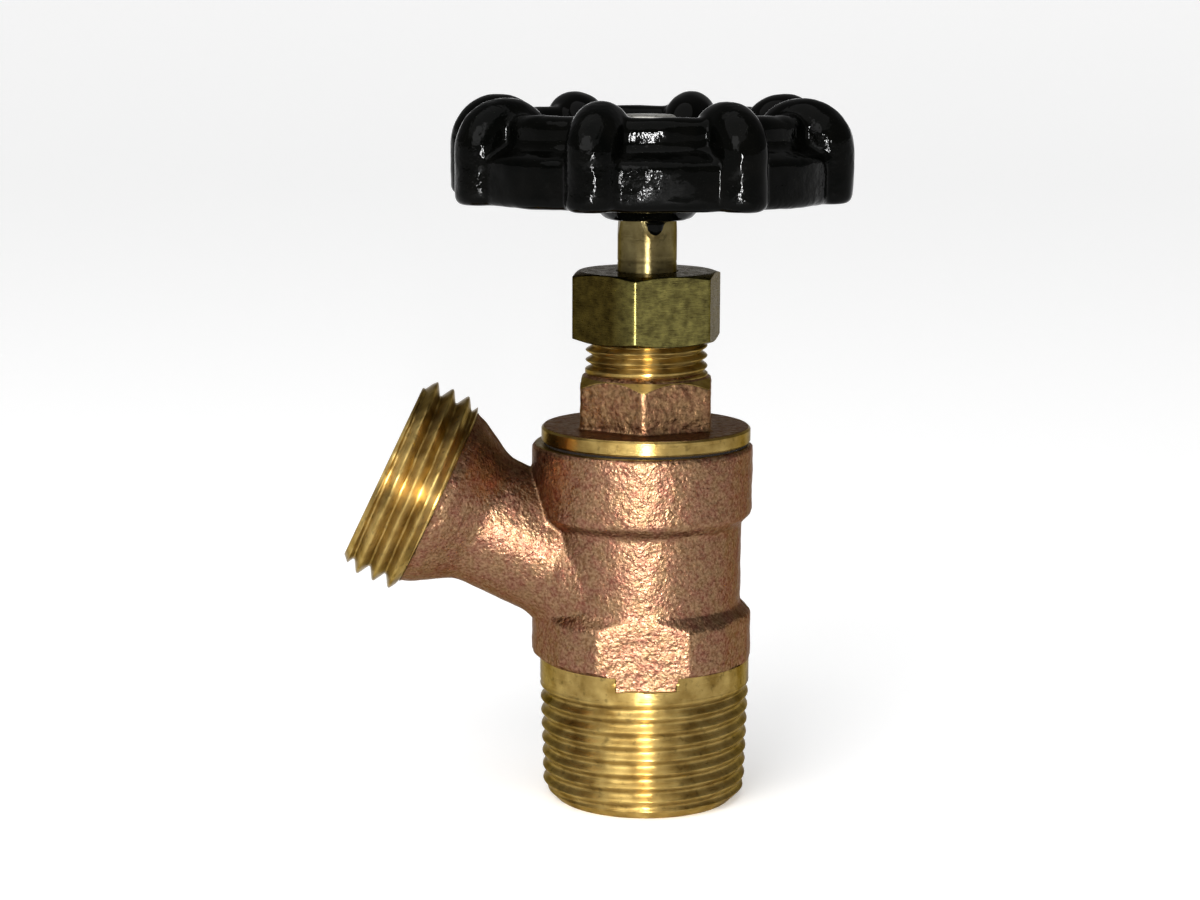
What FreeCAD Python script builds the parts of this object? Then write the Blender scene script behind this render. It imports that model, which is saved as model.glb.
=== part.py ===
import FreeCAD, Part
import math
import os
import re

import Sketcher
from FreeCAD import Vector

# Boiler drain valve. Frame: millimetres, +Z up along the valve axis, origin at the centre of
# the inlet end face. The hose spout points to -X.

# Every driving dimension, in millimetres and degrees. Heights are from the inlet end face.
SIZES = {
    # shape of every 60 degree thread, as shares of its pitch
    "thread_depth_share": 0.68,
    "thread_root_share": 0.10,
    "thread_reach_share": 0.05,
    # tapered pipe thread of the inlet, 14 turns to the inch
    "inlet_pitch": 1.8143,
    "inlet_crest_radius": 13.02,
    "inlet_taper": 1.79,
    "inlet_face_radius": 11.5,
    "inlet_chamfer_height": 1.55,
    "inlet_thread_height": 15.6,
    "inlet_band_radius": 13.3,
    "inlet_bore_radius": 8.6,
    "inlet_fade_turns": 0.7,
    "inlet_fade_cone": 40.0,
    # cast trunk, which lies a little off the machined axis
    "casting_shift": 0.45,
    "tab_gap": 0.8,
    "band_length": 2.3,
    "hex_length": 6.5,
    "hex_width": 25.4,
    "hex_side_width": 27.3,
    "trunk_radius": 12.6,
    "trunk_shoulder": 1.35,
    "shoulder_round": 0.5,
    "collar_radius": 13.96,
    "collar_length": 10.05,
    "collar_edge": 0.4,
    "body_height": 46.25,
    # seat and chamber inside the body
    "seat_height": 24.3,
    "seat_rise": 1.3,
    "seat_thickness": 3.9,
    "seat_bore_radius": 6.0,
    "seat_land": 0.7,
    "seat_base_width": 1.7,
    "chamber_radius": 10.4,
    "body_thread_depth": 7.35,
    # spout: its axis rises from the valve axis toward -X
    "spout_rise": 25.4,
    "spout_axis_height": 26.5,
    "spout_length": 37.1,
    "spout_bore_radius": 6.2,
    "spout_bore_start": 8.5,
    "neck_foot_radius": 10.4,
    "neck_foot_start": 8.0,
    "neck_foot_end": 13.0,
    "neck_radius": 8.45,
    "neck_start": 23.2,
    "neck_flare_end": 28.3,
    "neck_flare_radius": 11.45,
    "neck_end_radius": 11.6,
    "neck_round": 4.0,
    "mouth_bore_radius": 9.6,
    "mouth_bore_depth": 9.0,
    "mouth_cone_length": 4.0,
    "mouth_face_radius": 11.7,
    "mouth_chamfer": 1.45,
    "hose_pitch": 2.2087,
    "hose_crest_radius": 13.3,
    "hose_thread_length": 7.15,
    "hose_thread_run": 9.53,
    "hose_end_chamfer": 0.65,
    # bonnet
    "gasket_thickness": 0.3,
    "gasket_overlap": 0.35,
    "bonnet_flange_radius": 13.33,
    "bonnet_flange_thickness": 1.95,
    "bonnet_flange_edge": 0.25,
    "bonnet_hex_width": 16.3,
    "bonnet_hex_corner_radius": 0.9,
    "bonnet_hex_height": 6.4,
    "bonnet_hex_turn": 26.9,
    "bonnet_hex_chamfer": 1.3,
    "bonnet_hex_chamfer_height": 1.15,
    "bonnet_skirt_radius": 11.4,
    "bonnet_skirt_length": 6.8,
    "bonnet_skirt_chamfer": 0.6,
    "bonnet_neck_radius": 7.8,
    "bonnet_neck_pitch": 1.27,
    "bonnet_neck_length": 9.7,
    "bonnet_neck_start": 0.75,
    "bonnet_relief_radius": 5.6,
    "bonnet_relief_depth": 1.6,
    "bonnet_thread_rise": 3.4,
    "bonnet_undercut": 1.5,
    "bonnet_undercut_depth": 0.3,
    "box_radius": 5.6,
    "box_depth": 7.6,
    # stem
    "stem_radius": 3.75,
    "stem_thread_radius": 4.75,
    "stem_lead": 2.0,
    "stem_thread_depth": 0.9,
    "stem_thread_flat": 0.75,
    "stem_thread_slope": 0.26,
    "stem_neck_length": 3.7,
    "stem_travel": 6.0,
    "stem_thread_gap": 0.6,
    "stem_recess": 0.8,
    "stem_groove_rise": 1.2,
    "stem_groove_width": 0.5,
    "stem_groove_depth": 0.05,
    "stem_neck_radius": 3.75,
    "cup_radius": 8.0,
    "cup_roof": 1.74,
    "cup_wall": 0.9,
    "cup_rim_rise": 1.0,
    "washer_thickness": 3.2,
    "washer_hole_radius": 2.2,
    "square_below_hub": 2.1,
    "square_taper": 0.1,
    "square_turn": 6.0,
    "square_reach": 1.0,
    # fasteners
    "washer_screw_radius": 1.9,
    "washer_screw_length": 8.5,
    "washer_screw_head_radius": 3.4,
    "washer_screw_head_height": 1.6,
    "wheel_screw_radius": 1.45,
    "wheel_screw_length": 9.5,
    "wheel_screw_head_radius": 3.6,
    "wheel_screw_head_height": 2.1,
    "screw_head_round": 0.7,
    "screw_hole_spare": 0.4,
    "slot_width": 0.9,
    "slot_depth": 0.8,
    "plate_radius": 6.4,
    "plate_thickness": 0.7,
    # packing and its nut
    "packing_washer_thickness": 0.8,
    "packing_ring_thickness": 2.2,
    "gland_flange_radius": 6.8,
    "gland_flange_thickness": 1.1,
    "gland_gap": 0.3,
    "nut_width": 17.46,
    "nut_turn": 20.0,
    "nut_height": 8.8,
    "nut_roof": 2.25,
    "nut_chamfer_radius": 8.5,
    "nut_chamfer_slope": 0.35,
    # handwheel
    "wheel_turn": 27.5,
    "hub_rise": 6.45,
    "hub_height": 10.3,
    "hub_bottom_radius": 5.5,
    "hub_radius": 6.8,
    "hub_edge_height": 1.5,
    "hub_round": 0.5,
    "hub_below_wheel": 2.5,
    "wheel_rim_height": 11.1,
    "wheel_rim_radius": 24.1,
    "wheel_rim_waist": 21.3,
    "wheel_rim_wall": 3.3,
    "wheel_rim_inner_radius": 17.2,
    "wheel_band_height": 5.9,
    "wheel_waist_height": 7.4,
    "wheel_round": 1.2,
    "wheel_top_round": 1.8,
    "web_rise": 4.1,
    "web_thickness": 2.6,
    "window_inner_radius": 8.6,
    "window_outer_radius": 15.1,
    "spoke_width": 5.0,
    # finger lobes: each a rounded nose with an upright disc on it, whose edge is fully rounded
    "lobe_reach": 26.3,
    "lobe_half_width": 3.3,
    "lobe_disc_radius": 6.5,
    "lobe_disc_rise": 6.5,
    # clearances
    "thread_clearance": 0.1,
    "stem_thread_clearance": 0.15,
    "running_clearance": 0.05,
    "shank_clearance": 0.2,
    "seat_clearance": 0.03,
    "square_clearance": 0.05,
}
LOBES = 8
SPOKES = 4

doc = FreeCAD.newDocument("boiler_drain_valve")
sheet = doc.addObject("Spreadsheet::Sheet", "Sizes")
for row, (alias, number) in enumerate(SIZES.items(), start=1):
    sheet.set(f"A{row}", alias)
    sheet.set(f"B{row}", str(number))
    sheet.setAlias(f"B{row}", alias)
doc.recompute()


# Heights, radii and distances that follow from the driving dimensions, from the pipe upward.
TAB_BOTTOM = "(inlet_thread_height + tab_gap)"
HEX_BOTTOM = "(inlet_thread_height + band_length)"
HEX_SHOULDER = f"({HEX_BOTTOM} + hex_length)"
COLLAR_BOTTOM = "(body_height - collar_length)"
CHAMBER_FLOOR = "(seat_height - seat_rise)"
CHAMBER_TOP = "(body_height - body_thread_depth)"
BODY_THREAD_RADIUS = "(bonnet_skirt_radius + thread_clearance)"
FLANGE_BOTTOM = "(body_height + gasket_thickness)"
FLANGE_TOP = f"({FLANGE_BOTTOM} + bonnet_flange_thickness)"
BONNET_BOTTOM = f"({FLANGE_BOTTOM} - bonnet_skirt_length)"
BONNET_HEX_TOP = f"({FLANGE_TOP} + bonnet_hex_height)"
NECK_TOP = f"({BONNET_HEX_TOP} + bonnet_neck_length)"
SHANK_BORE_RADIUS = "(stem_radius + shank_clearance)"

# seat washer, its screw and the cup that holds them
WASHER_BOTTOM = "(seat_height + seat_clearance)"
WASHER_TOP = f"({WASHER_BOTTOM} + washer_thickness)"
WASHER_RADIUS = "(cup_radius - cup_wall - running_clearance)"
CUP_RIM = "(seat_height + cup_rim_rise)"
CUP_CEILING = f"({WASHER_TOP} + seat_clearance)"
CUP_TOP = f"({CUP_CEILING} + cup_roof)"
WASHER_SCREW_TOP = "(seat_height + washer_screw_length)"

# packing, gland and nut
BOX_FLOOR = f"({NECK_TOP} - box_depth)"
PACKING_BOTTOM = f"({BOX_FLOOR} + packing_washer_thickness)"
GLAND_BOTTOM = f"({PACKING_BOTTOM} + 2 * packing_ring_thickness)"
GLAND_FLANGE_BOTTOM = f"({NECK_TOP} + gland_gap)"
GLAND_TOP = f"({GLAND_FLANGE_BOTTOM} + gland_flange_thickness)"
NUT_BORE_RADIUS = "(bonnet_neck_radius + thread_clearance)"
NUT_TOP = f"({GLAND_TOP} + nut_roof)"
NUT_BOTTOM = f"({NUT_TOP} - nut_height)"

# handwheel
HUB_BOTTOM = f"({NUT_TOP} + hub_rise)"
HUB_TOP = f"({HUB_BOTTOM} + hub_height)"
PLATE_TOP = f"({HUB_TOP} + plate_thickness)"
WHEEL_BOTTOM = f"({HUB_BOTTOM} + hub_below_wheel)"
WEB_BOTTOM = f"({WHEEL_BOTTOM} + web_rise)"
WEB_TOP = f"({WEB_BOTTOM} + web_thickness)"
LOBE_CENTRE = f"({WHEEL_BOTTOM} + lobe_disc_rise)"

# stem: its thread stays inside the bonnet's over the whole travel
STEM_TOP = f"({HUB_TOP} - stem_recess)"
SQUARE_START = f"({HUB_BOTTOM} - square_below_hub)"
BONNET_THREAD_TOP = f"({FLANGE_TOP} + bonnet_thread_rise)"
STEM_THREAD_TOP = f"({BONNET_THREAD_TOP} - stem_travel - stem_thread_gap)"
STEM_THREAD_BOTTOM = f"({CUP_TOP} + stem_neck_length)"
BONNET_THREAD_START = f"({BONNET_BOTTOM} + bonnet_relief_depth - stem_lead)"
# the stem's groove starts a whole number of leads and a half lower, below its thread's end
LEADS_BELOW = f"ceil(({BONNET_THREAD_START} - {STEM_THREAD_BOTTOM}) / stem_lead)"
STEM_THREAD_START = f"({BONNET_THREAD_START} - ({LEADS_BELOW} + 1 / 2) * stem_lead)"
# the pipe thread has its full form over whole turns, the first of them below the end face
INLET_TURNS = "(floor(inlet_thread_height / inlet_pitch) + 1)"


def cells(text):
    """Writes each size named in text as its cell of the sheet."""
    def cell(word):
        return f"Sizes.{word.group()}" if word.group() in SIZES else word.group()
    return re.sub(r"[a-z_]+", cell, text)


def value(text):
    """The number that an expression of sizes gives."""
    return float(sheet.evalExpression(cells(text)))


def bind(item, prop, text):
    """Ties a property to an expression of sizes."""
    item.setExpression(prop, cells(text))


def new_body(name):
    body = doc.addObject("PartDesign::Body", name)
    body.Label = name
    return body


def new_sketch(body, name, plane="XZ_Plane", across="0", up="0", lift="0", turn="0", swing=None):
    """A sketch on one of the body's own planes, moved, and turned within it or swung upright."""
    sketch = body.newObject("Sketcher::SketchObject", name)
    planes = [item for item in body.Origin.OriginFeatures if item.Role == plane]
    sketch.AttachmentSupport = [(planes[0], "")]
    sketch.MapMode = "FlatFace"
    bind(sketch, "AttachmentOffset.Base.x", across)
    bind(sketch, "AttachmentOffset.Base.y", up)
    bind(sketch, "AttachmentOffset.Base.z", lift)
    if swing is not None:
        sketch.AttachmentOffset = FreeCAD.Placement(Vector(), FreeCAD.Rotation(Vector(0, 1, 0), 0))
    bind(sketch, "AttachmentOffset.Rotation.Angle", turn if swing is None else swing)
    return sketch


def spout_sketch(body, name):
    """A sketch in the plane of the spout, its vertical axis along the spout."""
    return new_sketch(body, name, up="spout_axis_height", turn="90 - spout_rise")


def fix_point(sketch, geometry, point, across, up):
    """Fixes a point's two coordinates, each by an expression of sizes."""
    for kind, axis, text in (("DistanceX", -2, across), ("DistanceY", -1, up)):
        if text == "0":
            sketch.addConstraint(Sketcher.Constraint("PointOnObject", geometry, point, axis))
            continue
        index = sketch.addConstraint(Sketcher.Constraint(kind, geometry, point, value(text)))
        bind(sketch, f"Constraints[{index}]", text)


def draw_outline(sketch, corners):
    """Draws a closed outline through its corners, each (across, up) or (across, up, radius)."""
    points = [Vector(value(corner[0]), value(corner[1]), 0) for corner in corners]
    count = len(points)
    arrive = []
    leave = []
    centres = []
    for index, corner in enumerate(corners):
        point = points[index]
        if len(corner) == 2:
            arrive.append(point)
            leave.append(point)
            centres.append(None)
            continue
        radius = value(corner[2])
        back = (points[index - 1] - point).normalize()
        ahead = (points[(index + 1) % count] - point).normalize()
        half = back.getAngle(ahead) / 2
        reach = radius / math.tan(half)
        arrive.append(point + back * reach)
        leave.append(point + ahead * reach)
        towards = (back + ahead).normalize()
        centres.append(point + towards * (reach ** 2 + radius ** 2) ** 0.5)
    lines = []
    for index in range(count):
        following = (index + 1) % count
        lines.append(sketch.addGeometry(Part.LineSegment(leave[index], arrive[following])))
    for index, corner in enumerate(corners):
        before = lines[index - 1]
        after = lines[index]
        if centres[index] is None:
            sketch.addConstraint(Sketcher.Constraint("Coincident", before, 2, after, 1))
            fix_point(sketch, after, 1, corner[0], corner[1])
            continue
        begin = arrive[index] - centres[index]
        end = leave[index] - centres[index]
        turns_left = begin.cross(end).z > 0
        middle = centres[index] + (begin + end).normalize() * begin.Length
        first, last = (arrive[index], leave[index]) if turns_left else (leave[index], arrive[index])
        arc = sketch.addGeometry(Part.Arc(first, middle, last))
        arc_arrive, arc_leave = (1, 2) if turns_left else (2, 1)
        sketch.addConstraint(Sketcher.Constraint("Tangent", before, 2, arc, arc_arrive))
        sketch.addConstraint(Sketcher.Constraint("Tangent", arc, arc_leave, after, 1))
        radius_index = sketch.addConstraint(Sketcher.Constraint("Radius", arc, value(corner[2])))
        bind(sketch, f"Constraints[{radius_index}]", corner[2])
        vertex = sketch.addGeometry(Part.Point(points[index]), True)
        sketch.addConstraint(Sketcher.Constraint("PointOnObject", vertex, 1, before))
        sketch.addConstraint(Sketcher.Constraint("PointOnObject", vertex, 1, after))
        fix_point(sketch, vertex, 1, corner[0], corner[1])


def draw_circle(sketch, radius, across="0", up="0"):
    centre = Vector(value(across), value(up), 0)
    circle = sketch.addGeometry(Part.Circle(centre, Vector(0, 0, 1), value(radius)))
    fix_point(sketch, circle, 3, across, up)
    index = sketch.addConstraint(Sketcher.Constraint("Radius", circle, value(radius)))
    bind(sketch, f"Constraints[{index}]", radius)


def draw_rectangle(sketch, left, bottom, right, top):
    draw_outline(sketch, [(left, bottom), (right, bottom), (right, top), (left, top)])


def hexagon(width, turn, corner_radius=None):
    """The corners of a hexagon of a width across flats, its first corner turned from +X."""
    corners = []
    for step in range(6):
        angle = f"({turn} + {60 * step})"
        corner = (f"{width} / 2 / cos(30) * cos{angle}", f"{width} / 2 / cos(30) * sin{angle}")
        corners.append(corner if corner_radius is None else corner + (corner_radius,))
    return corners


def revolve(body, name, sketch, kind="PartDesign::Revolution"):
    """Turns a sketch once round its own vertical axis, adding it or cutting it away."""
    feature = body.newObject(kind, name)
    feature.Profile = sketch
    feature.ReferenceAxis = (sketch, ["V_Axis"])
    feature.Angle = 360
    return feature


def groove(body, name, sketch):
    return revolve(body, name, sketch, "PartDesign::Groove")


def extrude(body, name, sketch, length, kind="PartDesign::Pad", reverse=False, midplane=False):
    """Pads or pockets a sketch along its normal."""
    feature = body.newObject(kind, name)
    feature.Profile = sketch
    bind(feature, "Length", length)
    feature.Reversed = reverse
    feature.Midplane = midplane
    return feature


def pocket(body, name, sketch, length, reverse=False, midplane=False):
    return extrude(body, name, sketch, length, "PartDesign::Pocket", reverse, midplane)


def polar_pattern(body, name, features, count):
    """Repeats features evenly round the valve axis."""
    pattern = body.newObject("PartDesign::PolarPattern", name)
    pattern.Originals = features
    axes = [item for item in body.Origin.OriginFeatures if item.Role == "Z_Axis"]
    pattern.Axis = (axes[0], [""])
    pattern.Angle = 360
    pattern.Occurrences = count
    body.Tip = pattern
    return pattern


def cut_helix(body, name, sketch, pitch, length, cone="0"):
    """Cuts a groove whose section is a sketch, along a helix round the sketch's vertical axis."""
    helix = body.newObject("PartDesign::SubtractiveHelix", name)
    helix.Profile = sketch
    helix.ReferenceAxis = (sketch, ["V_Axis"])
    helix.Mode = 0
    bind(helix, "Pitch", pitch)
    bind(helix, "Height", length)
    bind(helix, "Angle", cone)
    return helix


def thread_section(sketch, crest, pitch, height):
    """The section of the groove of a 60 degree outside thread, at one height."""
    root = f"({crest} - thread_depth_share * {pitch})"
    reach = f"({crest} + thread_reach_share * {pitch})"
    half_root = f"thread_root_share * {pitch} / 2"
    flank = f"({reach} - {root}) * tan(30)"
    draw_outline(sketch, [
        (root, f"{height} - {half_root}"),
        (reach, f"{height} - {half_root} - {flank}"),
        (reach, f"{height} + {half_root} + {flank}"),
        (root, f"{height} + {half_root}"),
    ])


def make_body():
    """The cast body: pipe thread, hexagon, chamber with its seat, and the hose spout."""
    body = new_body("body")

    # cast trunk, from the lower ends of the hexagon's flats to the top of the collar
    trunk = new_sketch(body, "trunk_profile", across="-casting_shift")
    draw_outline(trunk, [
        ("0", TAB_BOTTOM),
        ("collar_radius", TAB_BOTTOM),
        ("collar_radius", HEX_SHOULDER, "shoulder_round"),
        ("trunk_radius", f"{HEX_SHOULDER} + trunk_shoulder", "shoulder_round"),
        ("trunk_radius", COLLAR_BOTTOM, "shoulder_round"),
        ("collar_radius", f"{COLLAR_BOTTOM} + collar_radius - trunk_radius", "shoulder_round"),
        ("collar_radius", "body_height", "collar_edge"),
        ("0", "body_height"),
    ])
    revolve(body, "trunk", trunk)

    # flats of the hexagon, cut upward from the turned band: the two across the spout are the
    # deeper ones; the ring's outer radius only has to clear the casting
    flats = new_sketch(body, "hex_flats_outline", "XY_Plane", across="-casting_shift",
                       lift=TAB_BOTTOM)
    draw_circle(flats, "hex_width")
    half = "hex_width / 2"
    front_corner = f"(hex_side_width / 2 - {half} / 2) / cos(30)"
    side_corner = "hex_side_width / 2 / cos(30)"
    draw_outline(flats, [
        (side_corner, "0"),
        (front_corner, half),
        (f"-{front_corner}", half),
        (f"-{side_corner}", "0"),
        (f"-{front_corner}", f"-{half}"),
        (front_corner, f"-{half}"),
    ])
    pocket(body, "hex_flats", flats, f"{HEX_SHOULDER} + trunk_shoulder - {TAB_BOTTOM}", reverse=True)

    # turned blank of the pipe thread, and the turned shoulder above it, on the machined axis
    taper = "tan(inlet_taper)"
    blank = new_sketch(body, "inlet_blank_profile")
    draw_outline(blank, [
        ("0", "0"),
        ("inlet_face_radius", "0"),
        (f"inlet_crest_radius + inlet_chamfer_height * {taper}", "inlet_chamfer_height"),
        (f"inlet_crest_radius + inlet_thread_height * {taper}", "inlet_thread_height"),
        ("inlet_band_radius", "inlet_thread_height"),
        ("inlet_band_radius", TAB_BOTTOM),
        ("0", TAB_BOTTOM),
    ])
    revolve(body, "inlet_blank", blank)
    # the cut's outer radius only has to clear the casting
    shoulder = new_sketch(body, "turned_shoulder_profile")
    draw_outline(shoulder, [
        ("inlet_band_radius", "inlet_thread_height"),
        ("hex_width", "inlet_thread_height"),
        ("hex_width", f"{HEX_BOTTOM} + hex_width - inlet_band_radius"),
        ("inlet_band_radius", HEX_BOTTOM),
    ])
    groove(body, "turned_shoulder", shoulder)

    # spout: flared foot, neck, flare and the turned blank of the hose thread
    spout = spout_sketch(body, "spout_profile")
    thread_end = "(spout_length - hose_thread_length)"
    draw_outline(spout, [
        ("0", "0"),
        ("neck_foot_radius", "0"),
        ("neck_foot_radius", "neck_foot_start"),
        ("neck_radius", "neck_foot_end", "neck_round"),
        ("neck_radius", "neck_start", "neck_round"),
        ("neck_flare_radius", "neck_flare_end", "neck_round"),
        ("neck_end_radius", f"{thread_end} - hose_end_chamfer"),
        ("hose_crest_radius", thread_end),
        ("hose_crest_radius", "spout_length - mouth_chamfer"),
        ("mouth_face_radius", "spout_length"),
        ("0", "spout_length"),
    ])
    revolve(body, "spout", spout)

    # waterway from the inlet, through the seat, to the bonnet's thread
    way = new_sketch(body, "waterway_profile")
    web_bottom = "(seat_height - seat_thickness)"
    draw_outline(way, [
        ("0", "0"),
        ("inlet_bore_radius", "0"),
        ("inlet_bore_radius", f"{web_bottom} - (inlet_bore_radius - seat_bore_radius)"),
        ("seat_bore_radius", web_bottom),
        ("seat_bore_radius", "seat_height"),
        ("seat_bore_radius + seat_land", "seat_height"),
        ("seat_bore_radius + seat_base_width", CHAMBER_FLOOR),
        ("chamber_radius", CHAMBER_FLOOR),
        ("chamber_radius", CHAMBER_TOP),
        (BODY_THREAD_RADIUS, f"{CHAMBER_TOP} + {BODY_THREAD_RADIUS} - chamber_radius"),
        (BODY_THREAD_RADIUS, "body_height"),
        ("0", "body_height"),
    ])
    groove(body, "waterway", way)
    bore = spout_sketch(body, "spout_bore_profile")
    draw_outline(bore, [
        ("0", "spout_bore_start"),
        ("spout_bore_radius", "spout_bore_start"),
        ("spout_bore_radius", "spout_length - mouth_bore_depth - mouth_cone_length"),
        ("mouth_bore_radius", "spout_length - mouth_bore_depth"),
        ("mouth_bore_radius", "spout_length"),
        ("0", "spout_length"),
    ])
    groove(body, "spout_bore", bore)

    # threads
    section = new_sketch(body, "inlet_thread_section")
    start_crest = f"(inlet_crest_radius - inlet_pitch * {taper})"
    thread_section(section, start_crest, "inlet_pitch", "-inlet_pitch")
    cut_helix(body, "inlet_thread", section, "inlet_pitch", f"{INLET_TURNS} * inlet_pitch", "inlet_taper")
    fade = new_sketch(body, "inlet_fade_section")
    fade_height = f"(({INLET_TURNS} - 1) * inlet_pitch)"
    thread_section(fade, f"(inlet_crest_radius + {fade_height} * {taper})", "inlet_pitch", fade_height)
    cut_helix(body, "inlet_thread_fade", fade, "inlet_pitch", "inlet_fade_turns * inlet_pitch",
              "inlet_fade_cone")
    hose = spout_sketch(body, "hose_thread_section")
    thread_section(hose, "hose_crest_radius", "hose_pitch", "(spout_length - hose_thread_run)")
    cut_helix(body, "hose_thread", hose, "hose_pitch", "hose_thread_run + hose_pitch")
    return body


def ring(name, inner, outer, bottom, top):
    """A plain ring round the valve axis."""
    body = new_body(name)
    profile = new_sketch(body, f"{name}_profile")
    draw_rectangle(profile, inner, bottom, outer, top)
    revolve(body, f"{name}_ring", profile)
    return body


def make_bonnet():
    """The bonnet: threaded skirt, flange, cast hexagon, packing neck and stem thread."""
    body = new_body("bonnet")
    corner = "(bonnet_hex_width / 2 / cos(30))"
    outer = new_sketch(body, "bonnet_profile")
    draw_outline(outer, [
        ("0", BONNET_BOTTOM),
        ("bonnet_skirt_radius - bonnet_skirt_chamfer", BONNET_BOTTOM),
        ("bonnet_skirt_radius", f"{BONNET_BOTTOM} + bonnet_skirt_chamfer"),
        ("bonnet_skirt_radius", FLANGE_BOTTOM),
        ("bonnet_flange_radius - bonnet_flange_edge", FLANGE_BOTTOM),
        ("bonnet_flange_radius", f"{FLANGE_BOTTOM} + bonnet_flange_edge"),
        ("bonnet_flange_radius", f"{FLANGE_TOP} - bonnet_flange_edge"),
        ("bonnet_flange_radius - bonnet_flange_edge", FLANGE_TOP),
        (corner, FLANGE_TOP),
        (corner, f"{BONNET_HEX_TOP} - bonnet_hex_chamfer_height"),
        (f"{corner} - bonnet_hex_chamfer", BONNET_HEX_TOP),
        ("bonnet_neck_radius", BONNET_HEX_TOP),
        ("bonnet_neck_radius", f"{NECK_TOP} - bonnet_skirt_chamfer"),
        ("bonnet_neck_radius - bonnet_skirt_chamfer", NECK_TOP),
        ("0", NECK_TOP),
    ])
    revolve(body, "bonnet_turned", outer)
    flats = new_sketch(body, "bonnet_hex_outline", "XY_Plane", lift=FLANGE_TOP)
    draw_circle(flats, "bonnet_flange_radius")
    draw_outline(flats, hexagon("bonnet_hex_width", "bonnet_hex_turn", "bonnet_hex_corner_radius"))
    pocket(body, "bonnet_hex", flats, "bonnet_hex_height", reverse=True)

    inner = new_sketch(body, "bonnet_bore_profile")
    minor = "(stem_thread_radius - stem_thread_depth + stem_thread_clearance)"
    relief = "(stem_thread_radius + bonnet_undercut_depth)"
    thread_top = f"({BONNET_THREAD_TOP} - bonnet_undercut)"
    draw_outline(inner, [
        ("0", BONNET_BOTTOM),
        ("bonnet_relief_radius", BONNET_BOTTOM),
        ("bonnet_relief_radius", f"{BONNET_BOTTOM} + bonnet_relief_depth"),
        (minor, f"{BONNET_BOTTOM} + bonnet_relief_depth"),
        (minor, thread_top),
        (relief, thread_top),
        (relief, BONNET_THREAD_TOP),
        (SHANK_BORE_RADIUS, BONNET_THREAD_TOP),
        (SHANK_BORE_RADIUS, BOX_FLOOR),
        ("box_radius", BOX_FLOOR),
        ("box_radius", NECK_TOP),
        ("0", NECK_TOP),
    ])
    groove(body, "bonnet_bore", inner)

    # screw thread for the stem, open by the clearance on every side
    section = new_sketch(body, "bonnet_thread_section")
    crest = "(stem_thread_radius + stem_thread_clearance)"
    throat = f"({minor} - stem_thread_clearance)"
    half_crest = "(stem_thread_flat / 2 + stem_thread_clearance - stem_thread_clearance * stem_thread_slope)"
    half_throat = f"({half_crest} + ({crest} - {throat}) * stem_thread_slope)"
    draw_outline(section, [
        (throat, f"{BONNET_THREAD_START} - {half_throat}"),
        (crest, f"{BONNET_THREAD_START} - {half_crest}"),
        (crest, f"{BONNET_THREAD_START} + {half_crest}"),
        (throat, f"{BONNET_THREAD_START} + {half_throat}"),
    ])
    cut_helix(body, "bonnet_thread", section, "stem_lead",
              f"{BONNET_THREAD_TOP} - bonnet_undercut / 2 - {BONNET_THREAD_START}")

    neck = new_sketch(body, "bonnet_neck_section")
    thread_section(neck, "bonnet_neck_radius", "bonnet_neck_pitch",
                   f"({BONNET_HEX_TOP} + bonnet_neck_start)")
    cut_helix(body, "bonnet_neck_thread", neck, "bonnet_neck_pitch",
              "bonnet_neck_length")
    return body


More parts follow.
